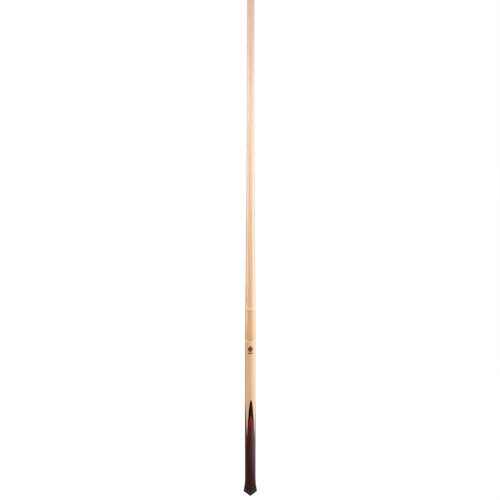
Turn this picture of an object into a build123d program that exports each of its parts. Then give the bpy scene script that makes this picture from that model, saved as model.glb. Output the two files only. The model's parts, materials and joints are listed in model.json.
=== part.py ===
"""A two-piece pool cue: a spliced butt with a square end, and a maple shaft that screws off it.

Millimetres. The cue stands on its bumper: origin at the bottom centre of the bumper, +Z along the
cue to the leather tip, one corner of the square end towards -Y.
"""
from build123d import *
from math import sqrt
import os

os.makedirs("parts", exist_ok=True)

# Turned outside of the cue: height above the bumper's foot, and diameter there
TAPER = (
    (40.0, 28.6),
    (300.0, 28.1),
    (455.0, 26.7),
    (532.0, 25.6),
    (665.0, 22.4),
    (780.0, 20.3),
    (948.0, 17.4),
    (1211.0, 15.3),
    (1416.0, 13.0),
    (1448.0, 13.0),
)
HANDLE_R = TAPER[0][1] / 2
TIP_R = TAPER[-1][1] / 2
LENGTH = TAPER[-1][0]
CLEAR_R = 30.0  # larger than any radius of the cue

# Square end: height and corner-to-corner width of each seam, from the foot up
CORNER_R = 1.5
FOOT_WIDTH = 36.8
BUMPER_TOP, BUMPER_TOP_WIDTH = 9.5, 35.0
STRIPE_TOP, STRIPE_TOP_WIDTH = 10.5, 34.6
PLATE_TOP, PLATE_TOP_WIDTH = 15.5, 32.2
FLARE_MID, FLARE_MID_WIDTH, FLARE_MID_CORNER_R = 24.0, 30.4, 6.0
FLARE_TOP = TAPER[0][0]
FLARE_TOP_CORNER_R = HANDLE_R - 0.01  # a circle, with just enough side left for the loft
FOOT_EDGE_R = 0.8

# Splice: the forearm is planed to four flats, and each flat carries a black and a red veneer under
# the handle's brown prong. Every layer is flat, and tapers down from its tip to its valley.
POINT_TURN = 6.5  # the points are turned this much from the corners of the square end
BLACK_TIP, BLACK_VALLEY = 290.0, 176.0
RED_TIP, RED_VALLEY = 243.0, 165.5
BROWN_TIP, BROWN_VALLEY = 218.0, 156.5
SPLICE_TENON_SIDE, SPLICE_TENON_L = 15.0, 20.0
TIP_DEPTH = 0.08  # the flats are let in this deep at a tip, which has no feather edge then
TIP_V_H = 4.0  # length of the V that a tip is trimmed to
TIP_SPARE = 1.0  # blanks reach this far past a tip, so that only its flat and V form it

# Screw joint between butt and shaft
JOINT = TAPER[2][0]
JOINT_GAP = 0.02
BUTT_RING_H = 4.0
FACE_RING_H = 2.0
COLLAR_TOP = TAPER[3][0]
LINE_H = 1.0
LIGHT_RING_H = 10.0
TENON_R = 9.5
PIN_R = 4.76
PIN_RUNNING_R = 4.70
PIN_NOSE_R, PIN_NOSE_H = 3.6, 2.0
PIN_BURIED, PIN_EXPOSED = 44.0, 31.0
INSERT_R, INSERT_HOLE_R = 7.05, 7.10
INSERT_L, INSERT_BORE_L = 41.0, 35.0
INSERT_HOLE_SPARE = 1.0
INSERT_GROOVE_H, INSERT_GROOVE_DEPTH, INSERT_GROOVES = 1.6, 0.6, 5

# Playing end
LEATHER_H, LEATHER_DOME_R = 6.5, 10.5
PAD_H = 1.0
FERRULE_L = 24.5
FERRULE_TENON_R, FERRULE_TENON_L = 4.0, 18.0

# Inside the butt end
WEIGHT_HOLE_R, WEIGHT_HOLE_TOP = 6.35, 128.0
WEIGHT_BOTTOM, WEIGHT_L = 60.0, 64.0
HEX_ACROSS, HEX_DEPTH = 6.0, 7.0
BUSH_L = 26.0
SCREW_R, SCREW_L = 3.0, 28.0
SCREW_HEAD_R, SCREW_HEAD_H = 5.0, 4.0
SCREW_SOCKET_ACROSS, SCREW_SOCKET_DEPTH = 4.0, 2.4
WASHER_R, WASHER_H = 7.0, 1.2
RECESS_R, RECESS_H = 7.3, 6.4

# Plain mark let into the forearm: a lozenge with rounded ends over a short bar
MARK_DEPTH = 0.4
MARK_W, MARK_H, MARK_MIDDLE = 12.4, 16.0, 431.5
MARK_CUT_W, MARK_CUT_H = 15.2, 19.6  # lozenge that trims the oval's shoulders
MARK_BAR_W, MARK_BAR_H, MARK_BAR_MIDDLE = 13.4, 3.0, 420.5
MARK_BAR_CORNER_R = 1.4

BOTTOM_ALIGN = (Align.CENTER, Align.CENTER, Align.MIN)
POINT_NAMES = ("front", "right", "back", "left")


def radius_at(height):
    """Radius of the turned outside at a height."""
    for (low, low_d), (high, high_d) in zip(TAPER, TAPER[1:]):
        if low <= height <= high:
            return (low_d + (high_d - low_d) * (height - low) / (high - low)) / 2
    raise ValueError(f"no turned outside at {height}")


def square_side(width, corner_r=CORNER_R):
    """Side of a square with rounded corners that is this wide from corner to corner."""
    return 2 * ((width / 2 - corner_r) / sqrt(2) + corner_r)


def planed(tip, valley):
    """The wood inside a layer, from the splice's foot up: a tapering square under four flats.

    A flat is let in a little at its tip, which ends in a V, and meets its neighbours on the turned
    outside at the valley.
    """
    tip_half = radius_at(tip) - TIP_DEPTH
    valley_half = radius_at(valley) / sqrt(2)
    slope = (tip_half - valley_half) / (tip - valley)
    foot_side = 2 * (valley_half + slope * (BROWN_VALLEY - valley))
    top_side = 2 * (valley_half + slope * (LENGTH - valley))
    v_bottom = tip - TIP_V_H
    v_half = sqrt(radius_at(v_bottom) ** 2 - (tip_half - slope * TIP_V_H) ** 2)
    with BuildPart() as inside:
        with BuildSketch(Plane.XY.offset(BROWN_VALLEY)):
            Rectangle(foot_side, foot_side, rotation=POINT_TURN)
        with BuildSketch(Plane.XY.offset(LENGTH)):
            Rectangle(top_side, top_side, rotation=POINT_TURN)
        loft(ruled=True)
        for turn in (0, 90):
            with BuildSketch(Plane.XZ.rotated((0, 0, POINT_TURN + turn))):
                with BuildLine():
                    Polyline(
                        (0, tip),
                        (v_half, v_bottom),
                        (v_half, LENGTH),
                        (-v_half, LENGTH),
                        (-v_half, v_bottom),
                        close=True,
                    )
                make_face()
            extrude(amount=CLEAR_R, both=True)
    return inside.part


def export(piece, name):
    """Label a finished piece with its name and write its STEP file."""
    piece.part.label = name
    export_step(piece.part, f"parts/{name}.step")


# Blanks that the pieces are cut from
with BuildPart() as turned_blank:
    with BuildSketch(Plane.XZ):
        with BuildLine():
            Polyline(
                (0, FLARE_TOP),
                *[(diameter / 2, height) for height, diameter in TAPER],
                (0, LENGTH),
                close=True,
            )
        make_face()
    revolve(axis=Axis.Z)

inside_black = planed(BLACK_TIP, BLACK_VALLEY)
inside_red = planed(RED_TIP, RED_VALLEY)
inside_brown = planed(BROWN_TIP, BROWN_VALLEY)

# ---- Playing end ----

leather_bottom = LENGTH - LEATHER_H
pad_bottom = leather_bottom - PAD_H
ferrule_bottom = pad_bottom - FERRULE_L

with BuildPart() as leather_tip:
    with Locations((0, 0, leather_bottom)):
        Cylinder(TIP_R, LEATHER_H, align=BOTTOM_ALIGN)
    with Locations((0, 0, LENGTH - LEATHER_DOME_R)):
        Sphere(LEATHER_DOME_R, mode=Mode.INTERSECT)
export(leather_tip, "leather_tip")

with BuildPart() as tip_pad:
    with Locations((0, 0, pad_bottom)):
        Cylinder(TIP_R, PAD_H, align=BOTTOM_ALIGN)
export(tip_pad, "tip_pad")

with BuildPart() as ferrule:
    with Locations((0, 0, ferrule_bottom)):
        Cylinder(TIP_R, FERRULE_L, align=BOTTOM_ALIGN)
        Cylinder(FERRULE_TENON_R, FERRULE_TENON_L, align=BOTTOM_ALIGN, mode=Mode.SUBTRACT)
export(ferrule, "ferrule")

# ---- Shaft, with its collar and rings on a long tenon ----

face_ring_bottom = JOINT + JOINT_GAP
tenon_bottom = JOINT + FACE_RING_H
line_bottom = COLLAR_TOP
light_ring_bottom = line_bottom + LINE_H
shoulder = light_ring_bottom + LIGHT_RING_H

with BuildPart() as shaft:
    with Locations((0, 0, shoulder)):
        Cylinder(CLEAR_R, ferrule_bottom - shoulder, align=BOTTOM_ALIGN)
    add(turned_blank.part, mode=Mode.INTERSECT)
    with Locations((0, 0, tenon_bottom)):
        Cylinder(TENON_R, shoulder - tenon_bottom, align=BOTTOM_ALIGN)
    with Locations((0, 0, ferrule_bottom)):
        Cylinder(FERRULE_TENON_R, FERRULE_TENON_L, align=BOTTOM_ALIGN)
    with Locations((0, 0, tenon_bottom)):
        insert_hole_l = INSERT_L - FACE_RING_H + INSERT_HOLE_SPARE
        Cylinder(INSERT_HOLE_R, insert_hole_l, align=BOTTOM_ALIGN, mode=Mode.SUBTRACT)
export(shaft, "shaft")

ring_stack = (
    ("joint_face_ring", face_ring_bottom, tenon_bottom, INSERT_HOLE_R),
    ("joint_collar", tenon_bottom, COLLAR_TOP, TENON_R),
    ("collar_line_ring", line_bottom, light_ring_bottom, TENON_R),
    ("shaft_light_ring", light_ring_bottom, shoulder, TENON_R),
    ("butt_light_ring", JOINT - BUTT_RING_H, JOINT, PIN_R),
)
for ring_name, ring_bottom, ring_top, ring_bore in ring_stack:
    with BuildPart() as ring:
        with Locations((0, 0, ring_bottom)):
            Cylinder(CLEAR_R, ring_top - ring_bottom, align=BOTTOM_ALIGN)
        add(turned_blank.part, mode=Mode.INTERSECT)
        with Locations((0, 0, ring_bottom)):
            Cylinder(ring_bore, ring_top - ring_bottom, align=BOTTOM_ALIGN, mode=Mode.SUBTRACT)
    export(ring, ring_name)

# ---- Screw joint ----

with BuildPart() as joint_insert:
    with Locations((0, 0, face_ring_bottom)):
        Cylinder(INSERT_R, INSERT_L, align=BOTTOM_ALIGN)
        Cylinder(PIN_R, INSERT_BORE_L, align=BOTTOM_ALIGN, mode=Mode.SUBTRACT)
    groove_pitch = (INSERT_L - FACE_RING_H) / (INSERT_GROOVES + 1)
    for number in range(INSERT_GROOVES):
        groove_bottom = tenon_bottom + (number + 1) * groove_pitch - INSERT_GROOVE_H / 2
        with BuildSketch(Plane.XY.offset(groove_bottom)):
            Circle(INSERT_R)
            Circle(INSERT_R - INSERT_GROOVE_DEPTH, mode=Mode.SUBTRACT)
        extrude(amount=INSERT_GROOVE_H, mode=Mode.SUBTRACT)
export(joint_insert, "joint_insert")

with BuildPart() as joint_pin:
    with Locations((0, 0, JOINT - PIN_BURIED)):
        Cylinder(PIN_R, PIN_BURIED, align=BOTTOM_ALIGN)
    with Locations((0, 0, JOINT)):
        Cylinder(PIN_RUNNING_R, PIN_EXPOSED - PIN_NOSE_H, align=BOTTOM_ALIGN)
    with Locations((0, 0, JOINT + PIN_EXPOSED - PIN_NOSE_H)):
        Cone(PIN_RUNNING_R, PIN_NOSE_R, PIN_NOSE_H, align=BOTTOM_ALIGN)
export(joint_pin, "joint_pin")

# ---- Forearm and its mark ----

forearm_top = JOINT - BUTT_RING_H

with BuildPart() as maker_mark:
    with BuildSketch(Plane.XZ):
        with Locations((0, MARK_MIDDLE)):
            Ellipse(MARK_W / 2, MARK_H / 2)
            Polygon(
                (MARK_CUT_W / 2, 0),
                (0, MARK_CUT_H / 2),
                (-MARK_CUT_W / 2, 0),
                (0, -MARK_CUT_H / 2),
                mode=Mode.INTERSECT,
            )
        with Locations((0, MARK_BAR_MIDDLE)):
            RectangleRounded(MARK_BAR_W, MARK_BAR_H, MARK_BAR_CORNER_R)
    extrude(amount=CLEAR_R)
    add(turned_blank.part, mode=Mode.INTERSECT)
    mark_low = MARK_BAR_MIDDLE - MARK_BAR_H
    mark_high = MARK_MIDDLE + MARK_H
    with Locations((0, 0, mark_low)):
        Cone(
            radius_at(mark_low) - MARK_DEPTH,
            radius_at(mark_high) - MARK_DEPTH,
            mark_high - mark_low,
            align=BOTTOM_ALIGN,
            mode=Mode.SUBTRACT,
        )
export(maker_mark, "maker_mark")

with BuildPart() as forearm:
    with Locations((0, 0, BROWN_VALLEY)):
        Cylinder(CLEAR_R, forearm_top - BROWN_VALLEY, align=BOTTOM_ALIGN)
    add(turned_blank.part, mode=Mode.INTERSECT)
    add(inside_black, mode=Mode.INTERSECT)
    with Locations(Location((0, 0, BROWN_VALLEY - SPLICE_TENON_L), (0, 0, POINT_TURN))):
        Box(SPLICE_TENON_SIDE, SPLICE_TENON_SIDE, SPLICE_TENON_L, align=BOTTOM_ALIGN)
    with Locations((0, 0, JOINT - PIN_BURIED)):
        Cylinder(PIN_R, PIN_BURIED, align=BOTTOM_ALIGN, mode=Mode.SUBTRACT)
    add(maker_mark.part, mode=Mode.SUBTRACT)
export(forearm, "forearm")

# ---- The four points: a red veneer on a black one, each mitred to its neighbours ----

veneers = (
    ("black", BLACK_TIP, inside_black, inside_red),
    ("red", RED_TIP, inside_red, inside_brown),
)
for colour, veneer_tip, inner_face, outer_face in veneers:
    for number, side in enumerate(POINT_NAMES):
        first_mitre = POINT_TURN + 90 * number - 135
        with BuildPart() as veneer:
            with Locations(Location((0, 0, BROWN_VALLEY), (0, 0, first_mitre))):
                Box(CLEAR_R, CLEAR_R, veneer_tip + TIP_SPARE - BROWN_VALLEY, align=(Align.MIN,) * 3)
            add(turned_blank.part, mode=Mode.INTERSECT)
            add(outer_face, mode=Mode.INTERSECT)
            add(inner_face, mode=Mode.SUBTRACT)
        export(veneer, f"{colour}_point_{side}")

# ---- Handle: round grip that becomes square at its foot ----

with BuildPart() as handle:
    with BuildSketch(Plane.XY.offset(PLATE_TOP)):
        RectangleRounded(square_side(PLATE_TOP_WIDTH), square_side(PLATE_TOP_WIDTH), CORNER_R, rotation=45)
    with BuildSketch(Plane.XY.offset(FLARE_MID)):
        mid_side = square_side(FLARE_MID_WIDTH, FLARE_MID_CORNER_R)
        RectangleRounded(mid_side, mid_side, FLARE_MID_CORNER_R, rotation=45)
    with BuildSketch(Plane.XY.offset(FLARE_TOP)):
        RectangleRounded(2 * HANDLE_R, 2 * HANDLE_R, FLARE_TOP_CORNER_R, rotation=45)
    loft(ruled=True)
    with BuildSketch(Plane.XZ):
        with BuildLine():
            Polyline(
                (0, FLARE_TOP),
                (HANDLE_R, FLARE_TOP),
                (radius_at(BROWN_TIP + TIP_SPARE), BROWN_TIP + TIP_SPARE),
                (0, BROWN_TIP + TIP_SPARE),
                close=True,
            )
        make_face()
    revolve(axis=Axis.Z)
    add(inside_brown, mode=Mode.SUBTRACT)
    with Locations(Location((0, 0, BROWN_VALLEY - SPLICE_TENON_L), (0, 0, POINT_TURN))):
        Box(SPLICE_TENON_SIDE, SPLICE_TENON_SIDE, SPLICE_TENON_L, align=BOTTOM_ALIGN, mode=Mode.SUBTRACT)
    with Locations((0, 0, PLATE_TOP)):
        Cylinder(WEIGHT_HOLE_R, WEIGHT_HOLE_TOP - PLATE_TOP, align=BOTTOM_ALIGN, mode=Mode.SUBTRACT)
export(handle, "handle")

# ---- Square end: rubber bumper, light stripe and black plate ----

bumper_seat = RECESS_H + WASHER_H
end_stack = (
    ("bumper", 0, FOOT_WIDTH, BUMPER_TOP, BUMPER_TOP_WIDTH),
    ("stripe_plate", BUMPER_TOP, BUMPER_TOP_WIDTH, STRIPE_TOP, STRIPE_TOP_WIDTH),
    ("butt_plate", STRIPE_TOP, STRIPE_TOP_WIDTH, PLATE_TOP, PLATE_TOP_WIDTH),
)
for end_name, end_bottom, bottom_width, end_top, top_width in end_stack:
    with BuildPart() as end_piece:
        with BuildSketch(Plane.XY.offset(end_bottom)):
            RectangleRounded(square_side(bottom_width), square_side(bottom_width), CORNER_R, rotation=45)
        with BuildSketch(Plane.XY.offset(end_top)):
            RectangleRounded(square_side(top_width), square_side(top_width), CORNER_R, rotation=45)
        loft(ruled=True)
        with Locations((0, 0, end_bottom)):
            Cylinder(SCREW_R, end_top - end_bottom, align=BOTTOM_ALIGN, mode=Mode.SUBTRACT)
        if end_name == "bumper":
            Cylinder(RECESS_R, bumper_seat, align=BOTTOM_ALIGN, mode=Mode.SUBTRACT)
            fillet(end_piece.faces().sort_by(Axis.Z)[0].outer_wire().edges(), FOOT_EDGE_R)
    export(end_piece, end_name)

with BuildPart() as bumper_washer:
    with Locations((0, 0, RECESS_H)):
        Cylinder(WASHER_R, WASHER_H, align=BOTTOM_ALIGN)
        Cylinder(SCREW_R, WASHER_H, align=BOTTOM_ALIGN, mode=Mode.SUBTRACT)
export(bumper_washer, "bumper_washer")

with BuildPart() as bumper_screw:
    head_bottom = RECESS_H - SCREW_HEAD_H
    with Locations((0, 0, head_bottom)):
        Cylinder(SCREW_HEAD_R, SCREW_HEAD_H, align=BOTTOM_ALIGN)
    with Locations((0, 0, RECESS_H)):
        Cylinder(SCREW_R, SCREW_L, align=BOTTOM_ALIGN)
    with BuildSketch(Plane.XY.offset(head_bottom)):
        RegularPolygon(SCREW_SOCKET_ACROSS / 2, 6, major_radius=False)
    extrude(amount=SCREW_SOCKET_DEPTH, mode=Mode.SUBTRACT)
export(bumper_screw, "bumper_screw")

with BuildPart() as threaded_bush:
    with Locations((0, 0, PLATE_TOP)):
        Cylinder(WEIGHT_HOLE_R, BUSH_L, align=BOTTOM_ALIGN)
        Cylinder(SCREW_R, BUSH_L, align=BOTTOM_ALIGN, mode=Mode.SUBTRACT)
export(threaded_bush, "threaded_bush")

with BuildPart() as weight_bolt:
    with Locations((0, 0, WEIGHT_BOTTOM)):
        Cylinder(WEIGHT_HOLE_R, WEIGHT_L, align=BOTTOM_ALIGN)
    with BuildSketch(Plane.XY.offset(WEIGHT_BOTTOM)):
        RegularPolygon(HEX_ACROSS / 2, 6, major_radius=False)
    extrude(amount=HEX_DEPTH, mode=Mode.SUBTRACT)
export(weight_bolt, "weight_bolt")
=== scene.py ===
"""Looks for the pool cue: turned and spliced wood, a threaded joint pin, and plain studio light.

Metres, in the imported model's frame: the cue stands on its bumper, +Z towards the tip, -Y to the camera.
"""
import json
import math
from functools import lru_cache

import bmesh
import bpy
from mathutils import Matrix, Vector


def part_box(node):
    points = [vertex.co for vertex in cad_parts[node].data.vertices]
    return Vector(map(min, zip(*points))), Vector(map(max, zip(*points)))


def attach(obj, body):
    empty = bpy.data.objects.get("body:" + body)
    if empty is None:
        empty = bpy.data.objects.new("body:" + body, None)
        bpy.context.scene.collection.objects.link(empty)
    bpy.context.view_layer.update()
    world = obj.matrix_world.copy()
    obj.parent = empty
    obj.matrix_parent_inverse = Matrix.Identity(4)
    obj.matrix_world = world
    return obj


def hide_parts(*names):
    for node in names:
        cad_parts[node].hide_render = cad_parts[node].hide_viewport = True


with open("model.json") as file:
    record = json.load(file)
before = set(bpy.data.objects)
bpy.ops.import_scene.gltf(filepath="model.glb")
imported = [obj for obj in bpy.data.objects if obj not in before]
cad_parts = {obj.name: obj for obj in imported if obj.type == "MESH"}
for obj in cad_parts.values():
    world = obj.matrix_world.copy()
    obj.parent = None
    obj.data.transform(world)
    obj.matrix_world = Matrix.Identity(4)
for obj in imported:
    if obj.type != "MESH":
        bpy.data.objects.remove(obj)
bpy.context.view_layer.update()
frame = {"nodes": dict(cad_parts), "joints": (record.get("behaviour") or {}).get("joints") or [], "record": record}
nodes = frame["nodes"]

MM = 0.001
BUTT, INSERT, SHAFT = "butt", "insert", "shaft"
SIDES = ("front", "right", "back", "left")
SLOT_OF = {entry["node"]: entry["material_slot"] for entry in frame["record"]["subparts"]}

FLARE_TOP = 40 * MM  # the round handle begins to square off here
FLARE_MID = 24 * MM
FLARE_MID_CORNER = 6 * MM
CORNER = 1.5 * MM  # corner radius of the square end
LOZENGE_SHAPE = 0.775  # the mark's lozenge: width over height
LOZENGE_CUT = 1.225  # how far out the straight cuts meet, in half heights
MARK_LIFT, MARK_DEPTH = 0.03 * MM, 0.3 * MM  # proud of the forearm, and let into it
BORE_SPARE = 4 * MM  # empty bore past the end of a pin or bolt
RING_EASE, PLATE_EASE = 0.04 * MM, 0.05 * MM
STEP_DROP = 0.98  # points below this share of the radius before them lie inside the cue
ROUND = 1.0  # a flat this far out, in metres, cuts nothing off
HAIR = 1e-6
CIRCLE = [math.tau * step / 128 for step in range(128)]

# ------------------------------------------------------------ sizes read from the frame


@lru_cache
def corners(node):
    """Lowest and highest corner of a CAD node."""
    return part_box(node)


def low(node):
    """Lowest height of a CAD node."""
    return corners(node)[0].z


def high(node):
    """Highest height of a CAD node."""
    return corners(node)[1].z


def outer_radius(node):
    """Outside radius of a round CAD node."""
    return corners(node)[1].x


def radius_of(point):
    return math.hypot(point.x, point.y)


@lru_cache
def bore_of(node):
    """Radius of the hole through a ring."""
    return min(radius_of(v.co) for v in nodes[node].data.vertices)


@lru_cache
def width_at(node, height):
    """Corner-to-corner width of a square piece at a height."""
    near = [v.co for v in nodes[node].data.vertices if abs(v.co.z - height) < 0.1 * MM]
    return 2 * max(radius_of(point) for point in near)


def turned_outside():
    """(height, radius) of the turned outside, wherever the frame has points on it."""
    found = {}
    for node in ("handle", "forearm", "butt_light_ring", "joint_face_ring", "joint_collar", "shaft"):
        for v in nodes[node].data.vertices:
            height = round(v.co.z, 6)
            if height >= FLARE_TOP - HAIR:
                found[height] = max(found.get(height, 0.0), radius_of(v.co))
    stations = []
    for height in sorted(found):
        if not stations or found[height] > STEP_DROP * stations[-1][1]:
            stations.append((height, found[height]))
    return stations


STATIONS = turned_outside()


def radius_at(height):
    """Radius of the turned outside at a height."""
    if height <= STATIONS[0][0]:
        return STATIONS[0][1]
    for (below, below_r), (above, above_r) in zip(STATIONS, STATIONS[1:]):
        if height <= above:
            return below_r + (above_r - below_r) * (height - below) / (above - below)
    return STATIONS[-1][1]


def front_point_azimuth():
    """Direction of the front point, from its highest corner."""
    tip = max((v.co for v in nodes["black_point_front"].data.vertices), key=lambda point: point.z)
    return math.atan2(tip.y, tip.x)


def steps(start, end, count):
    """Evenly spaced values, both ends included."""
    return [start + (end - start) * step / count for step in range(count + 1)]


# ------------------------------------------------------------ mesh building


def polar(radius, angle, height):
    return Vector((radius * math.cos(angle), radius * math.sin(angle), height))


def circle(radius, height):
    return [polar(radius, angle, height) for angle in CIRCLE]


def add_skin(bm, loops, ring=False, cap_start=True, cap_end=True):
    """Faces through loops of points of one count. ring joins the last loop to the first."""
    rows = [[bm.verts.new(point) for point in loop] for loop in loops]
    pairs = list(zip(rows, rows[1:]))
    if ring:
        pairs.append((rows[-1], rows[0]))
    for here, there in pairs:
        for one, two in zip(range(len(here)), list(range(1, len(here))) + [0]):
            bm.faces.new((here[one], here[two], there[two], there[one]))
    if cap_start and not ring:
        bm.faces.new(reversed(rows[0]))
    if cap_end and not ring:
        bm.faces.new(rows[-1])


def finish_mesh(bm, name, sharp=30):
    """A smooth-shaded object of a built mesh, with its doubled points and empty faces gone."""
    bmesh.ops.remove_doubles(bm, verts=bm.verts, dist=HAIR / 10)
    bmesh.ops.dissolve_degenerate(bm, edges=bm.edges, dist=HAIR / 10)
    bmesh.ops.recalc_face_normals(bm, faces=bm.faces)
    if bm.calc_volume(signed=True) < 0:
        bmesh.ops.reverse_faces(bm, faces=bm.faces)
    mesh = bpy.data.meshes.new(name)
    bm.to_mesh(mesh)
    bm.free()
    mesh.polygons.foreach_set("use_smooth", [True] * len(mesh.polygons))
    mesh.set_sharp_from_angle(angle=math.radians(sharp))
    piece = bpy.data.objects.new(name, mesh)
    bpy.context.scene.collection.objects.link(piece)
    return piece


def skinned(name, loops, ring=False, sharp=30):
    bm = bmesh.new()
    add_skin(bm, loops, ring=ring)
    return finish_mesh(bm, name, sharp)


def eased(section, ease):
    """A closed outline of (radius, height) corners with each corner rounded off."""
    outline = []
    for index, corner in enumerate(section):
        here = Vector(corner)
        before = Vector(section[index - 1])
        after = Vector(section[(index + 1) % len(section)])
        start = here + (before - here).normalized() * min(ease, (before - here).length / 2)
        end = here + (after - here).normalized() * min(ease, (after - here).length / 2)
        for t in (0.0, 0.35, 0.65, 1.0):
            outline.append(start.lerp(here, t).lerp(here.lerp(end, t), t))
    return outline


def turned(name, outline, ring=True, sharp=30):
    """A lathe-turned piece from an outline of (radius, height) points."""
    return skinned(name, [circle(radius, height) for radius, height in outline], ring, sharp)


def tapered_ring(name, node):
    """A ring of the cue's own taper with a straight bore, in place of a CAD ring."""
    bottom, top, bore = low(node), high(node), bore_of(node)
    section = [(bore, bottom), (radius_at(bottom), bottom), (radius_at(top), top), (bore, top)]
    return turned(name, eased(section, RING_EASE))


def square_radius(angle, width, corner):
    """Distance from the axis to the side of a rounded square, one corner towards -Y."""
    half = (width / 2 - corner) / math.sqrt(2) + corner
    inner = half - corner
    turn = abs(angle % (math.pi / 2) - math.pi / 4)
    if half * math.tan(turn) <= inner:
        return half / math.cos(turn)
    reach = inner * (math.cos(turn) + math.sin(turn))
    return reach + math.sqrt(reach * reach - 2 * inner * inner + corner * corner)


def square_angles():
    """Angles for a square loop, close together at its four corners."""
    offsets = sorted(set(steps(-45, 45, 12) + steps(-10, 10, 16)))
    return [math.radians(90 * side + offset) for side in range(4) for offset in offsets[:-1]]


SQUARE = square_angles()


def square_loop(width, corner, height):
    return [polar(square_radius(angle, width, corner), angle, height) for angle in SQUARE]


# ------------------------------------------------------------ materials


def new_material(name):
    material = bpy.data.materials.new(name)
    material.use_nodes = True
    tree = material.node_tree
    shader = tree.nodes["Principled BSDF"]
    return material, tree, shader


def add_node(tree, kind, inputs=None, **settings):
    """A node with its settings, and input sockets given a value or a link."""
    node = tree.nodes.new(kind)
    for key, value in settings.items():
        setattr(node, key, value)
    for key, value in (inputs or {}).items():
        socket = node.inputs[key]
        if isinstance(value, bpy.types.NodeSocket):
            tree.links.new(value, socket)
        else:
            socket.default_value = value
    return node


def stretched(tree, along, offset=(0, 0, 0)):
    """Object coordinates squeezed along the cue, so that a pattern is drawn out along the grain."""
    place = add_node(tree, "ShaderNodeTexCoord").outputs["Object"]
    mapping = add_node(
        tree, "ShaderNodeMapping", {"Vector": place, "Scale": (1, 1, along), "Location": offset}
    )
    return mapping.outputs["Vector"]


def noise(tree, where, scale, detail=3.0, roughness=0.5, distortion=0.0):
    return add_node(
        tree,
        "ShaderNodeTexNoise",
        {"Vector": where, "Scale": scale, "Detail": detail, "Roughness": roughness, "Distortion": distortion},
    ).outputs["Fac"]


def ramp(tree, factor, stops):
    """Colour ramp through (position, colour) stops."""
    node = add_node(tree, "ShaderNodeValToRGB", {"Fac": factor})
    elements = node.color_ramp.elements
    while len(elements) < len(stops):
        elements.new(0.5)
    for element, (position, colour) in zip(elements, stops):
        element.position = position
        element.color = (*colour, 1) if len(colour) == 3 else colour
    return node.outputs["Color"]


def mix(tree, factor, one, two, blend="MIX"):
    node = add_node(tree, "ShaderNodeMix", data_type="RGBA", blend_type=blend)
    for socket, value in ((node.inputs[0], factor), (node.inputs[6], one), (node.inputs[7], two)):
        if isinstance(value, bpy.types.NodeSocket):
            tree.links.new(value, socket)
        elif isinstance(value, (int, float)):
            socket.default_value = value
        else:
            socket.default_value = (*value, 1)
    return node.outputs[2]


def remap(tree, value, from_low, from_high, to_low, to_high):
    return add_node(
        tree,
        "ShaderNodeMapRange",
        {"Value": value, "From Min": from_low, "From Max": from_high, "To Min": to_low, "To Max": to_high},
    ).outputs["Result"]


def add_bump(tree, shader, height, strength, distance):
    bump = add_node(
        tree, "ShaderNodeBump", {"Height": height, "Strength": strength, "Distance": distance}
    )
    tree.links.new(bump.outputs["Normal"], shader.inputs["Normal"])


def wood(
    name, pale, deep, figure=1.0, pores=0.0, gloss=0.32, coat=0.3, specular=0.5, offset=(0, 0, 0), painted_light_bands=()
):
    """Straight-grained wood along the cue: growth streaks, fine fibres, and pores in open woods.

    figure is the strength of the grain. The bands along the cue, each (colour, start height, end height), are
    painted light and shade: the wood's colour is blended towards each band's colour with height.
    """
    material, tree, shader = new_material(name)
    streaks = noise(tree, stretched(tree, 0.035, offset), 330, 4, 0.55, 0.6)
    growth = add_node(
        tree,
        "ShaderNodeTexWave",
        {
            "Vector": stretched(tree, 0.02, offset),
            "Scale": 95,
            "Distortion": 5.5,
            "Detail": 3,
            "Detail Scale": 1.4,
            "Detail Roughness": 0.6,
        },
        wave_type="BANDS",
        bands_direction="DIAGONAL",
        wave_profile="SIN",
    ).outputs["Fac"]
    fibres = noise(tree, stretched(tree, 0.018, offset), 3200, 3, 0.6)
    body = mix(tree, remap(tree, streaks, 0.35, 0.68, 0.0, 1.0), pale, deep)
    # Painted light and shade along the cue: the colour blends towards each band's colour between its start and end
    # heights.
    for colour, start, end in painted_light_bands:
        place = add_node(tree, "ShaderNodeTexCoord").outputs["Object"]
        height = add_node(tree, "ShaderNodeSeparateXYZ", {"Vector": place}).outputs["Z"]
        body = mix(tree, remap(tree, height, start, end, 0.0, 1.0), body, colour)
    darker = 1 - 0.16 * figure
    grain = ramp(tree, growth, ((0.0, (darker, darker * 0.98, darker * 0.95)), (0.55, (1, 1, 1))))
    body = mix(tree, 1.0, body, grain, "MULTIPLY")
    fine = 1 - 0.13 * figure
    thread = ramp(tree, fibres, ((0.30, (fine, fine * 0.98, fine * 0.95)), (0.62, (1, 1, 1))))
    body = mix(tree, 1.0, body, thread, "MULTIPLY")
    if pores:
        open_pores = noise(tree, stretched(tree, 0.05, offset), 2300, 2, 0.5)
        dark = 1 - pores
        pore_tint = ramp(tree, open_pores, ((0.36, (dark, dark, dark)), (0.44, (1, 1, 1))))
        body = mix(tree, 1.0, body, pore_tint, "MULTIPLY")
    tree.links.new(body, shader.inputs["Base Color"])
    tree.links.new(remap(tree, fibres, 0.3, 0.7, gloss + 0.08, gloss - 0.04), shader.inputs["Roughness"])
    shader.inputs["Coat Weight"].default_value = coat
    shader.inputs["Coat Roughness"].default_value = 0.12
    shader.inputs["Coat IOR"].default_value = 1.48
    shader.inputs["Specular IOR Level"].default_value = specular
    add_bump(tree, shader, fibres, 0.05 + 0.10 * pores, 0.02 * MM)
    return material


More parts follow.
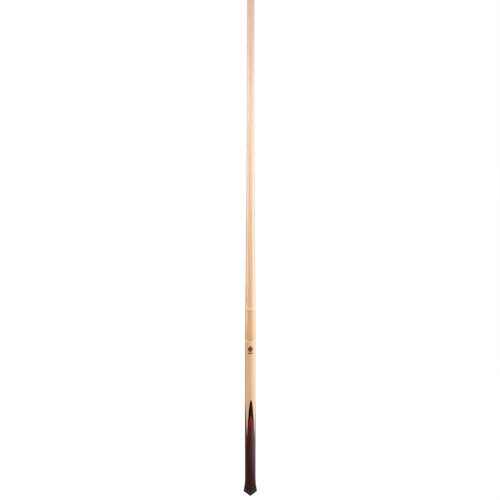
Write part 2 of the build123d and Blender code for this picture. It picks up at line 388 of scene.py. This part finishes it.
def rubber(name):
    material, tree, shader = new_material(name)
    place = stretched(tree, 1)
    grit = noise(tree, place, 2600, 4, 0.65)
    clouds = noise(tree, place, 180, 3, 0.5)
    colour = ramp(tree, clouds, ((0.3, (0.008, 0.0065, 0.006)), (0.7, (0.016, 0.013, 0.012))))
    scuffed = ramp(tree, grit, ((0.70, (0, 0, 0)), (0.80, (0.012, 0.011, 0.010))))
    tree.links.new(mix(tree, 1.0, colour, scuffed, "ADD"), shader.inputs["Base Color"])
    tree.links.new(remap(tree, clouds, 0.3, 0.7, 0.48, 0.62), shader.inputs["Roughness"])
    add_bump(tree, shader, grit, 0.25, 0.05 * MM)
    return material


def leather(name):
    """Pressed leather tip: thin layers round the side, fibres on the dome."""
    material, tree, shader = new_material(name)
    layers = noise(tree, stretched(tree, 6.0), 260, 2, 0.5)
    fibres = noise(tree, stretched(tree, 1), 1500, 5, 0.65)
    colour = ramp(tree, layers, ((0.35, (0.115, 0.058, 0.030)), (0.65, (0.235, 0.135, 0.075))))
    worn = ramp(tree, fibres, ((0.35, (0.62, 0.60, 0.58)), (0.65, (1, 1, 1))))
    tree.links.new(mix(tree, 1.0, colour, worn, "MULTIPLY"), shader.inputs["Base Color"])
    tree.links.new(remap(tree, fibres, 0.3, 0.7, 0.62, 0.85), shader.inputs["Roughness"])
    add_bump(tree, shader, fibres, 0.5, 0.08 * MM)
    return material


def fibre(name):
    """Vulcanised fibre pad."""
    material, tree, shader = new_material(name)
    speckle = noise(tree, stretched(tree, 1), 2400, 3, 0.6)
    colour = ramp(tree, speckle, ((0.3, (0.10, 0.012, 0.010)), (0.7, (0.19, 0.028, 0.020))))
    tree.links.new(colour, shader.inputs["Base Color"])
    tree.links.new(remap(tree, speckle, 0.3, 0.7, 0.40, 0.55), shader.inputs["Roughness"])
    add_bump(tree, shader, speckle, 0.15, 0.02 * MM)
    return material


def resin(name):
    """Polished ivory-white ferrule resin with faint clouding."""
    material, tree, shader = new_material(name)
    clouds = noise(tree, stretched(tree, 0.4), 240, 3, 0.5)
    colour = ramp(tree, clouds, ((0.3, (0.80, 0.75, 0.65)), (0.7, (0.87, 0.83, 0.75))))
    tree.links.new(colour, shader.inputs["Base Color"])
    tree.links.new(remap(tree, clouds, 0.3, 0.7, 0.18, 0.28), shader.inputs["Roughness"])
    shader.inputs["Subsurface Weight"].default_value = 0.08
    shader.inputs["Subsurface Radius"].default_value = (1.2 * MM, 1.0 * MM, 0.8 * MM)
    add_bump(tree, shader, clouds, 0.03, 0.02 * MM)
    return material


def metal(name, dark, light, roughness):
    """Lathe-turned metal: fine rings round the axis and faint tarnish."""
    material, tree, shader = new_material(name)
    rings = noise(tree, stretched(tree, 40.0), 180, 2, 0.5)
    tarnish = noise(tree, stretched(tree, 1), 220, 4, 0.6)
    tree.links.new(ramp(tree, tarnish, ((0.3, dark), (0.7, light))), shader.inputs["Base Color"])
    uneven = remap(tree, rings, 0.3, 0.7, roughness - 0.07, roughness + 0.09)
    tree.links.new(uneven, shader.inputs["Roughness"])
    shader.inputs["Metallic"].default_value = 1.0
    add_bump(tree, shader, rings, 0.12, 0.02 * MM)
    return material


def make_materials():
    """The materials by slot name. The shaft's colour carries painted light and shade: painted light makes it
    palest at its middle, and painted shade darkens it towards the top.
    """
    shaft_bottom, shaft_top = high("joint_collar"), low("ferrule")
    middle = (shaft_bottom + shaft_top) / 2
    # Painted light and shade on the shaft: the paler band up to the middle is painted light, and the darker band
    # towards the top is painted shade.
    painted_light_bands = (
        ((0.80, 0.595, 0.465), shaft_bottom + 30 * MM, middle),
        ((0.58, 0.37, 0.275), middle + 40 * MM, shaft_top - 100 * MM),
    )
    woods = {
        "maple_shaft": dict(pale=(0.73, 0.46, 0.285), deep=(0.665, 0.395, 0.235), figure=0.6, painted_light_bands=painted_light_bands),
        "maple_forearm": dict(
            pale=(0.72, 0.465, 0.28), deep=(0.645, 0.40, 0.23), figure=0.7, offset=(0.31, 0.17, 0)
        ),
        "amber_wood": dict(
            pale=(0.71, 0.43, 0.232), deep=(0.635, 0.368, 0.186), figure=0.7, offset=(0.53, 0.07, 0.2)
        ),
        "light_ring": dict(
            pale=(0.80, 0.52, 0.315), deep=(0.74, 0.46, 0.275), figure=0.5, offset=(0.11, 0.41, 0.5)
        ),
        "dark_line": dict(
            pale=(0.50, 0.27, 0.125), deep=(0.42, 0.21, 0.09), figure=0.6, offset=(0.7, 0.2, 0.1)
        ),
        "stripe_veneer": dict(
            pale=(0.12, 0.085, 0.07), deep=(0.08, 0.055, 0.045), figure=0.8, offset=(0.6, 0.3, 0)
        ),
        "mark_inlay": dict(
            pale=(0.175, 0.064, 0.019), deep=(0.12, 0.04, 0.012), figure=0.6, coat=0.1, offset=(0.9, 0, 0)
        ),
        "black_wood": dict(
            pale=(0.010, 0.002, 0.0006), deep=(0.007, 0.0012, 0.0003), pores=0.3, coat=0.04, specular=0.2
        ),
        "red_veneer": dict(
            pale=(0.235, 0.010, 0.020),
            deep=(0.165, 0.005, 0.012),
            figure=0.8,
            pores=0.2,
            coat=0.06,
            specular=0.3,
            offset=(0.2, 0.6, 0),
        ),
        "brown_wood": dict(
            pale=(0.068, 0.0145, 0.0115),
            deep=(0.038, 0.0075, 0.006),
            figure=1.5,
            pores=0.4,
            gloss=0.36,
            coat=0.2,
            offset=(0.4, 0.8, 0),
        ),
    }
    return {
        **{name: wood(name, **looks) for name, looks in woods.items()},
        "rubber": rubber("rubber"),
        "leather": leather("leather"),
        "fibre": fibre("fibre"),
        "ferrule": resin("ferrule"),
        "brass": metal("brass", (0.60, 0.38, 0.13), (0.80, 0.58, 0.25), 0.28),
        "steel": metal("steel", (0.42, 0.42, 0.43), (0.62, 0.62, 0.63), 0.30),
    }


# ------------------------------------------------------------ splice geometry


def lowest_outside(node):
    """Lowest height at which a piece reaches the turned outside: its valley."""
    points = [v.co for v in nodes[node].data.vertices if v.co.z < high("handle")]
    return min(point.z for point in points if radius_of(point) > radius_at(point.z) - 0.02 * MM)


SPLICE_FOOT = low("black_point_front")
FRONT = front_point_azimuth()
CENTRES = [FRONT + math.pi / 2 * number for number in range(4)]
BLACK = (high("black_point_front"), lowest_outside("forearm"))
RED = (high("red_point_front"), lowest_outside("black_point_front"))
BROWN = (high("handle"), lowest_outside("red_point_front"))
EIGHTH = math.pi / 4


def splice_heights():
    """Heights of the loops through the splice, close together below each tip."""
    heights = {SPLICE_FOOT}
    for tip, valley in (BLACK, RED, BROWN):
        heights |= {round(tip - (tip - valley) * t * t, 7) for t in steps(0, 1, 36)}
    return sorted(heights)


SPLICE_HEIGHTS = splice_heights()


def flat_distance(layer, height):
    """How far a layer's four flats lie from the axis; a layer is (tip, valley)."""
    tip, valley = layer
    tip_d, valley_d = radius_at(tip), radius_at(valley) / math.sqrt(2)
    return valley_d + (tip_d - valley_d) * (height - valley) / (tip - valley)


def flat_edge(distance, radius):
    """(radius, half angle) of a flat's edge: on the turned outside, or on the mitre inside it."""
    if distance * math.sqrt(2) <= radius:
        return distance * math.sqrt(2), EIGHTH
    return radius, math.acos(min(1.0, distance / radius))


def veneer(name, centre, inner, outer):
    """One flat veneer of a point, between its own layer's flat and the next layer's."""
    loops = []
    for height in SPLICE_HEIGHTS:
        if height > inner[0]:
            break
        radius = radius_at(height)
        inner_r, inner_half = flat_edge(flat_distance(inner, height), radius)
        outer_r, outer_half = flat_edge(flat_distance(outer, height), radius)
        half = [inner_half, *steps(inner_half, outer_half, 12)]
        reach = [inner_r] + [outer_r] * 13
        loop = [polar(r, centre + a, height) for r, a in zip(reach, half)]
        loop += [polar(r, centre - a, height) for r, a in zip(reversed(reach), reversed(half))]
        loops.append(loop)
    return skinned(name, loops)


def planed_loop(height, distance, radius):
    """Section of the wood inside four flats, or of the round wood where the flats lie outside it."""
    reach, half = flat_edge(distance, radius)
    loop = []
    for centre in CENTRES:
        loop += [polar(reach, centre + a, height) for a in steps(half, math.pi / 2 - half, 32)]
    return loop


def splice_tenon():
    """(foot, half side) of the square tenon under the splice."""
    foot = low("forearm")
    corner_r = max(radius_of(v.co) for v in nodes["forearm"].data.vertices if v.co.z < foot + HAIR)
    return foot, corner_r / math.sqrt(2)


def make_forearm():
    top, pin_bottom, pin_r = high("forearm"), low("joint_pin"), bore_of("butt_light_ring")
    tenon_foot, tenon_half = splice_tenon()
    loops = [planed_loop(height, tenon_half, ROUND) for height in (tenon_foot, SPLICE_FOOT)]
    for height in [h for h in SPLICE_HEIGHTS if h <= BLACK[0]]:
        loops.append(planed_loop(height, flat_distance(BLACK, height), radius_at(height)))
    for height in steps(BLACK[0], top, 40)[1:]:
        loops.append(planed_loop(height, ROUND, radius_at(height)))
    loops += [planed_loop(height, ROUND, pin_r) for height in (top, pin_bottom)]
    return skinned("forearm_wood", loops)


def flare(height, angle):
    """Radius of the handle: round, then square with rounded corners towards the foot."""
    foot = low("handle")
    round_r = radius_at(FLARE_TOP)
    if height >= FLARE_TOP:
        return radius_at(height)
    width_mid, width_foot = width_at("handle", FLARE_MID), width_at("handle", foot)
    if height > FLARE_MID:
        t = (FLARE_TOP - height) / (FLARE_TOP - FLARE_MID)
        width = 2 * round_r + (width_mid - 2 * round_r) * t
        corner = round_r + (FLARE_MID_CORNER - round_r) * t
    else:
        t = (FLARE_MID - height) / (FLARE_MID - foot)
        width = width_mid + (width_foot - width_mid) * t
        corner = FLARE_MID_CORNER + (CORNER - FLARE_MID_CORNER) * t
    return square_radius(angle, width, corner)


def make_handle():
    """The handle: square foot, round grip, a bore from below, and four prongs round a socket."""
    foot, valley = low("handle"), BROWN[1]
    shares = sorted(set(steps(-1, 1, 32) + steps(-0.5, 0.1, 16)))
    angles = [centre + EIGHTH * share for centre in CENTRES for share in shares]
    bore_r, bore_top = outer_radius("weight_bolt"), high("weight_bolt") + BORE_SPARE
    loops = [[polar(bore_r, angle, height) for angle in angles] for height in (bore_top, foot)]
    for height in steps(foot, FLARE_TOP, 30) + steps(FLARE_TOP, valley, 30)[1:]:
        loops.append([polar(flare(height, angle), angle, height) for angle in angles])
    bm = bmesh.new()
    add_skin(bm, loops, cap_end=False)
    socket = []
    for centre in CENTRES:
        prong = []
        for height in [h for h in SPLICE_HEIGHTS if h <= BROWN[0]]:
            reach, half = flat_edge(flat_distance(BROWN, height), radius_at(height))
            prong.append([polar(reach, centre + half * share, height) for share in shares])
        add_skin(bm, prong, cap_start=False)
        socket.append(centre + EIGHTH)
    tenon_foot, tenon_half = splice_tenon()
    floor_r, tenon_r = radius_at(valley), tenon_half * math.sqrt(2)
    rings = ((floor_r, valley), (tenon_r, valley), (tenon_r, tenon_foot))
    walls = [[polar(reach, angle, height) for angle in socket] for reach, height in rings]
    add_skin(bm, walls, cap_start=False)
    return finish_mesh(bm, "handle_wood")


# ------------------------------------------------------------ the other pieces


def make_shaft():
    """Shaft with a tenon in the collar and one in the ferrule, and the insert's hole."""
    shoulder, ferrule_foot = high("shaft_light_ring"), low("ferrule")
    tenon_r, hole_r = bore_of("joint_collar"), bore_of("joint_face_ring")
    bottom, top, small_r = low("shaft"), high("shaft"), bore_of("ferrule")
    hole_top = high("joint_insert") + 1 * MM
    outline = [(hole_r, hole_top), (hole_r, bottom), (tenon_r, bottom), (tenon_r, shoulder)]
    outline += [(radius_at(height), height) for height in steps(shoulder, ferrule_foot, 90)]
    outline += [(small_r, ferrule_foot), (small_r, top)]
    return turned("shaft_wood", outline, ring=False)


def make_tip():
    """Leather tip: a slightly swollen side under a dome."""
    bottom, top = low("leather_tip"), high("leather_tip")
    side_r = outer_radius("leather_tip")
    edge = max(v.co.z for v in nodes["leather_tip"].data.vertices if radius_of(v.co) > 0.995 * side_r)
    dome_r = (side_r**2 + (top - edge) ** 2) / (2 * (top - edge))
    outline = [(side_r - 0.1 * MM, bottom), (side_r, bottom + 0.3 * MM), (side_r, edge - 0.3 * MM)]
    for share in steps(0.97, 0.03, 14):
        radius = side_r * share
        outline.append((radius, top - dome_r + math.sqrt(dome_r**2 - radius**2)))
    return turned("leather_cap", outline, ring=False, sharp=50)


def make_pin():
    """Joint pin: a plain root in the forearm and a right-hand thread above, as the coupling's pitch."""
    bottom, top = low("joint_pin"), high("joint_pin")
    face = high("butt_light_ring")
    root_r = bore_of("butt_light_ring") - 0.005 * MM
    thread_r = max(radius_of(v.co) for v in nodes["joint_pin"].data.vertices if v.co.z > face + MM)
    lift = frame["joints"][0]["range_m"][1]
    turns = math.radians(frame["joints"][1]["range_deg"][1]) / math.tau
    pitch, depth, nose = lift / turns, 0.75 * MM, 2 * MM
    chamfer = 0.4 * MM
    loops = [circle(root_r - chamfer, bottom), circle(root_r, bottom + chamfer)]
    loops.append(circle(root_r, face - 0.2 * MM))
    for height in steps(face - 0.1 * MM, top, 250):
        taper = max(0.0, (height - (top - nose)) / nose) * 1.1 * MM
        fade = min(1.0, max(0.0, (height - face) / (0.8 * MM)))
        loop = []
        for angle in CIRCLE:
            phase = ((height / pitch) - angle / math.tau) % 1
            flank = min(1.0, max(0.0, (abs(2 * phase - 1) - 0.12) / 0.66))
            radius = thread_r - depth * fade * (1 - flank)
            loop.append(polar(min(radius, thread_r - taper), angle, height))
        loops.append(loop)
    return skinned("pin_threaded", loops, sharp=60)


def make_insert():
    """Brass insert: a plain running bore with a countersunk mouth, glue grooves round the outside."""
    bottom, top = low("joint_insert"), high("joint_insert")
    outer = outer_radius("joint_insert")
    bore = bore_of("joint_insert")
    bore_top = high("joint_pin") + BORE_SPARE
    outline = [(bore, bore_top), (bore, bottom + 0.9 * MM), (bore + 0.8 * MM, bottom)]
    outline += [(outer - 0.15 * MM, bottom), (outer, bottom + 0.15 * MM)]
    grooves, groove_depth = 5, 0.6 * MM
    pitch = (top - bottom) / (grooves + 1)
    for number in range(grooves):
        middle = bottom + (number + 1) * pitch
        for shift, sunk in ((-0.9, 0), (-0.7, 1), (0.7, 1), (0.9, 0)):
            outline.append((outer - sunk * groove_depth, middle + shift * MM))
    outline += [(outer, top - 0.15 * MM), (outer - 0.15 * MM, top)]
    return turned("insert_brass", outline, ring=False)


def square_ring(name, node):
    """A square plate with a round hole, in place of a CAD plate."""
    bottom, top, bore = low(node), high(node), bore_of(node)
    wide_bottom, wide_top = width_at(node, bottom), width_at(node, top)
    hole = [[polar(bore, angle, height) for angle in SQUARE] for height in (top, bottom)]
    loops = hole + [
        square_loop(wide_bottom - 2 * PLATE_EASE, CORNER, bottom),
        square_loop(wide_bottom, CORNER, bottom + PLATE_EASE),
        square_loop(wide_top, CORNER, top - PLATE_EASE),
        square_loop(wide_top - 2 * PLATE_EASE, CORNER, top),
    ]
    return skinned(name, loops, ring=True)


def make_bumper():
    """Rubber bumper: rounded foot edge, straight sides, and the recess for washer and screw."""
    bottom, top = low("bumper"), high("bumper")
    recess_top, hole_r = high("bumper_washer"), bore_of("bumper")
    recess_r = outer_radius("bumper_washer") + 0.3 * MM
    wide_top = width_at("bumper", top)
    wide_foot = 2 * max(radius_of(v.co) for v in nodes["bumper"].data.vertices)
    edge = 0.8 * MM

    def inside(radius, height):
        return [polar(radius, angle, height) for angle in SQUARE]

    loops = [inside(hole_r, top), inside(hole_r, recess_top), inside(recess_r, recess_top)]
    loops += [inside(recess_r, bottom + 0.4 * MM), inside(recess_r + 0.4 * MM, bottom)]
    for turn in steps(0, math.pi / 2, 5):
        inset = edge * (1 - math.sin(turn))
        loops.append(square_loop(wide_foot - 2 * inset, CORNER, bottom + edge * (1 - math.cos(turn))))
    loops.append(square_loop(wide_top, CORNER, top - 0.1 * MM))
    loops.append(square_loop(wide_top - 0.2 * MM, CORNER, top))
    return skinned("bumper_rubber", loops, ring=True)


def mark_rows(node_low, node_high, half_width, count):
    """A patch on the front of the forearm, as rows of a given half width, let in below the surface."""
    loops = []
    for share in steps(0, 1, count):
        height = node_low + (node_high - node_low) * share
        half = max(half_width(share), 0.05 * MM)
        outer, inner = radius_at(height) + MARK_LIFT, radius_at(height) - MARK_DEPTH
        across = [half * t for t in steps(-1, 1, 12)]
        loop = [Vector((x, -math.sqrt(outer**2 - x * x), height)) for x in across]
        loop += [Vector((x, -math.sqrt(inner**2 - x * x), height)) for x in reversed(across)]
        loops.append(loop)
    return loops


def make_mark():
    """Plain inlaid lozenge with rounded ends, over a plain bar."""
    corner_low, corner_high = corners("maker_mark")
    points = [v.co for v in nodes["maker_mark"].data.vertices]
    bar_half = corner_high.x
    in_bar = [point for point in points if abs(point.x) > 0.6 * bar_half and point.z < corner_low.z + 4 * MM]
    bar_top = max(point.z for point in in_bar)
    lozenge_low = min(point.z for point in points if point.z > bar_top + 0.3 * MM)
    lozenge_half_h = (corner_high.z - lozenge_low) / 2
    lozenge_half_w = LOZENGE_SHAPE * lozenge_half_h

    def lozenge(share):
        up = abs(2 * share - 1)
        oval = math.sqrt(max(0.0, 1 - up * up))
        return lozenge_half_w * min(oval, LOZENGE_CUT * (1 - up / LOZENGE_CUT))

    def bar(share):
        up = 2 * share - 1
        return bar_half - (bar_top - corner_low.z) / 2 * (1 - math.sqrt(max(0.0, 1 - up * up)))

    bm = bmesh.new()
    add_skin(bm, mark_rows(lozenge_low, corner_high.z, lozenge, 40))
    add_skin(bm, mark_rows(corner_low.z, bar_top, bar, 12))
    return finish_mesh(bm, "mark_inlaid")


# ------------------------------------------------------------ assembly

MATERIALS = make_materials()


def place(piece, body, node):
    """Gives a new piece its body and the material of its CAD node's slot, and hides that CAD node, which the piece
    stands for.
    """
    piece.data.materials.clear()
    piece.data.materials.append(MATERIALS[SLOT_OF[node]])
    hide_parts(node)
    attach(piece, body)


def dress(node):
    """Gives a CAD node that stays in view its material."""
    nodes[node].data.materials.clear()
    nodes[node].data.materials.append(MATERIALS[SLOT_OF[node]])


place(make_shaft(), SHAFT, "shaft")
place(make_tip(), SHAFT, "leather_tip")
for node in ("tip_pad", "ferrule"):
    dress(node)
for node in ("shaft_light_ring", "collar_line_ring", "joint_collar", "joint_face_ring"):
    place(tapered_ring(f"{node}_turned", node), SHAFT, node)
place(make_insert(), INSERT, "joint_insert")
place(make_pin(), BUTT, "joint_pin")
place(tapered_ring("butt_light_ring_turned", "butt_light_ring"), BUTT, "butt_light_ring")
place(make_forearm(), BUTT, "forearm")
place(make_mark(), BUTT, "maker_mark")
for side, centre in zip(SIDES, CENTRES):
    place(veneer(f"black_veneer_{side}", centre, BLACK, RED), BUTT, f"black_point_{side}")
    place(veneer(f"red_veneer_{side}", centre, RED, BROWN), BUTT, f"red_point_{side}")
place(make_handle(), BUTT, "handle")
place(square_ring("butt_plate_square", "butt_plate"), BUTT, "butt_plate")
place(square_ring("stripe_plate_square", "stripe_plate"), BUTT, "stripe_plate")
place(make_bumper(), BUTT, "bumper")
for node in ("bumper_washer", "bumper_screw", "threaded_bush", "weight_bolt"):
    dress(node)

# ------------------------------------------------------------ floor, light and camera

CAMERA_ASIDE, CAMERA_BACK, CAMERA_UP = -0.0014, 1.136, 0.988  # metres from the foot's middle
CAMERA_TILT, CAMERA_LEAN = 15.0, -0.04  # degrees down, and to the side
CAMERA_LENS = 35.57  # mm, on a 36 mm sensor


def make_floor():
    """A floor as white as the backdrop to the camera, that throws light up on the key light's side only."""
    bm = bmesh.new()
    bmesh.ops.create_grid(bm, x_segments=8, y_segments=8, size=12)
    mesh = bpy.data.meshes.new("floor")
    bm.to_mesh(mesh)
    bm.free()
    floor = bpy.data.objects.new("floor", mesh)
    bpy.context.scene.collection.objects.link(floor)
    material, tree, shader = new_material("pale_floor")
    shade = noise(tree, stretched(tree, 1), 6, 2, 0.5)
    colour = ramp(tree, shade, ((0.3, (0.02, 0.02, 0.02)), (0.7, (0.03, 0.03, 0.03))))
    tree.links.new(colour, shader.inputs["Base Color"])
    shader.inputs["Roughness"].default_value = 0.9
    shader.inputs["Specular IOR Level"].default_value = 0.0
    shader.inputs["Emission Color"].default_value = (1, 1, 1, 1)
    shader.inputs["Emission Strength"].default_value = 1.0
    aside = add_node(tree, "ShaderNodeTexCoord").outputs["Object"]
    aside = add_node(tree, "ShaderNodeSeparateXYZ", {"Vector": aside}).outputs["X"]
    to_key = remap(tree, aside, 0.03, 0.25, 0.0, 1.0)
    card = ramp(tree, to_key, ((0.0, (0.05, 0.05, 0.05)), (1.0, (0.9, 0.9, 0.9))))
    dull = add_node(tree, "ShaderNodeBsdfDiffuse")
    tree.links.new(card, dull.inputs["Color"])
    path = add_node(tree, "ShaderNodeLightPath")
    choose = add_node(tree, "ShaderNodeMixShader", {0: path.outputs["Is Camera Ray"]})
    tree.links.new(dull.outputs[0], choose.inputs[1])
    tree.links.new(shader.outputs[0], choose.inputs[2])
    tree.links.new(choose.outputs[0], tree.nodes["Material Output"].inputs["Surface"])
    mesh.materials.append(material)


def area_light(name, place_at, aim, width, height, power, colour=(1, 1, 1)):
    data = bpy.data.lights.new(name, "AREA")
    data.shape = "RECTANGLE"
    data.size, data.size_y = width, height
    data.energy = power
    data.color = colour
    light = bpy.data.objects.new(name, data)
    light.location = place_at
    light.rotation_euler = (Vector(aim) - Vector(place_at)).to_track_quat("-Z", "Y").to_euler()
    bpy.context.scene.collection.objects.link(light)


def make_world():
    """White to the camera; on the object a soft light from behind and a dull one from the front."""
    world = bpy.data.worlds.new("studio")
    bpy.context.scene.world = world
    world.use_nodes = True
    tree = world.node_tree
    tree.nodes.clear()
    seen = add_node(tree, "ShaderNodeBackground", {"Color": (1, 1, 1, 1), "Strength": 1.0})
    where = add_node(tree, "ShaderNodeTexCoord").outputs["Generated"]
    behind = add_node(tree, "ShaderNodeSeparateXYZ", {"Vector": where}).outputs["Y"]
    cast = add_node(tree, "ShaderNodeBackground", {"Color": (1, 0.985, 0.96, 1)})
    tree.links.new(remap(tree, behind, -0.2, 0.6, 0.05, 0.6), cast.inputs["Strength"])
    path = add_node(tree, "ShaderNodeLightPath")
    choose = add_node(tree, "ShaderNodeMixShader", {0: path.outputs["Is Camera Ray"]})
    tree.links.new(cast.outputs[0], choose.inputs[1])
    tree.links.new(seen.outputs[0], choose.inputs[2])
    output = add_node(tree, "ShaderNodeOutputWorld")
    tree.links.new(choose.outputs[0], output.inputs["Surface"])


def make_camera():
    data = bpy.data.cameras.new("camera")
    data.sensor_width = 36
    data.lens = CAMERA_LENS
    data.clip_start = 0.05
    camera = bpy.data.objects.new("camera", data)
    camera.location = (CAMERA_ASIDE, -CAMERA_BACK, CAMERA_UP)
    camera.rotation_euler = (math.radians(90 - CAMERA_TILT), math.radians(CAMERA_LEAN), 0)
    bpy.context.scene.collection.objects.link(camera)
    bpy.context.scene.camera = camera


make_floor()
make_world()
area_light("key", (1.17, -0.25, 0.40), (0, 0, 0.40), 0.45, 0.9, 9, (1, 0.985, 0.95))
area_light("rim", (1.15, 0.35, 0.60), (0, 0, 0.60), 0.3, 1.2, 3)
area_light("fill", (-1.18, -0.15, 0.72), (0, 0, 0.68), 0.4, 1.5, 13)
area_light("front", (0.4, -4.0, 4.4), (0, 0, 0.6), 6.0, 2.4, 355)
make_camera()
bpy.context.scene.view_settings.view_transform = "Standard"
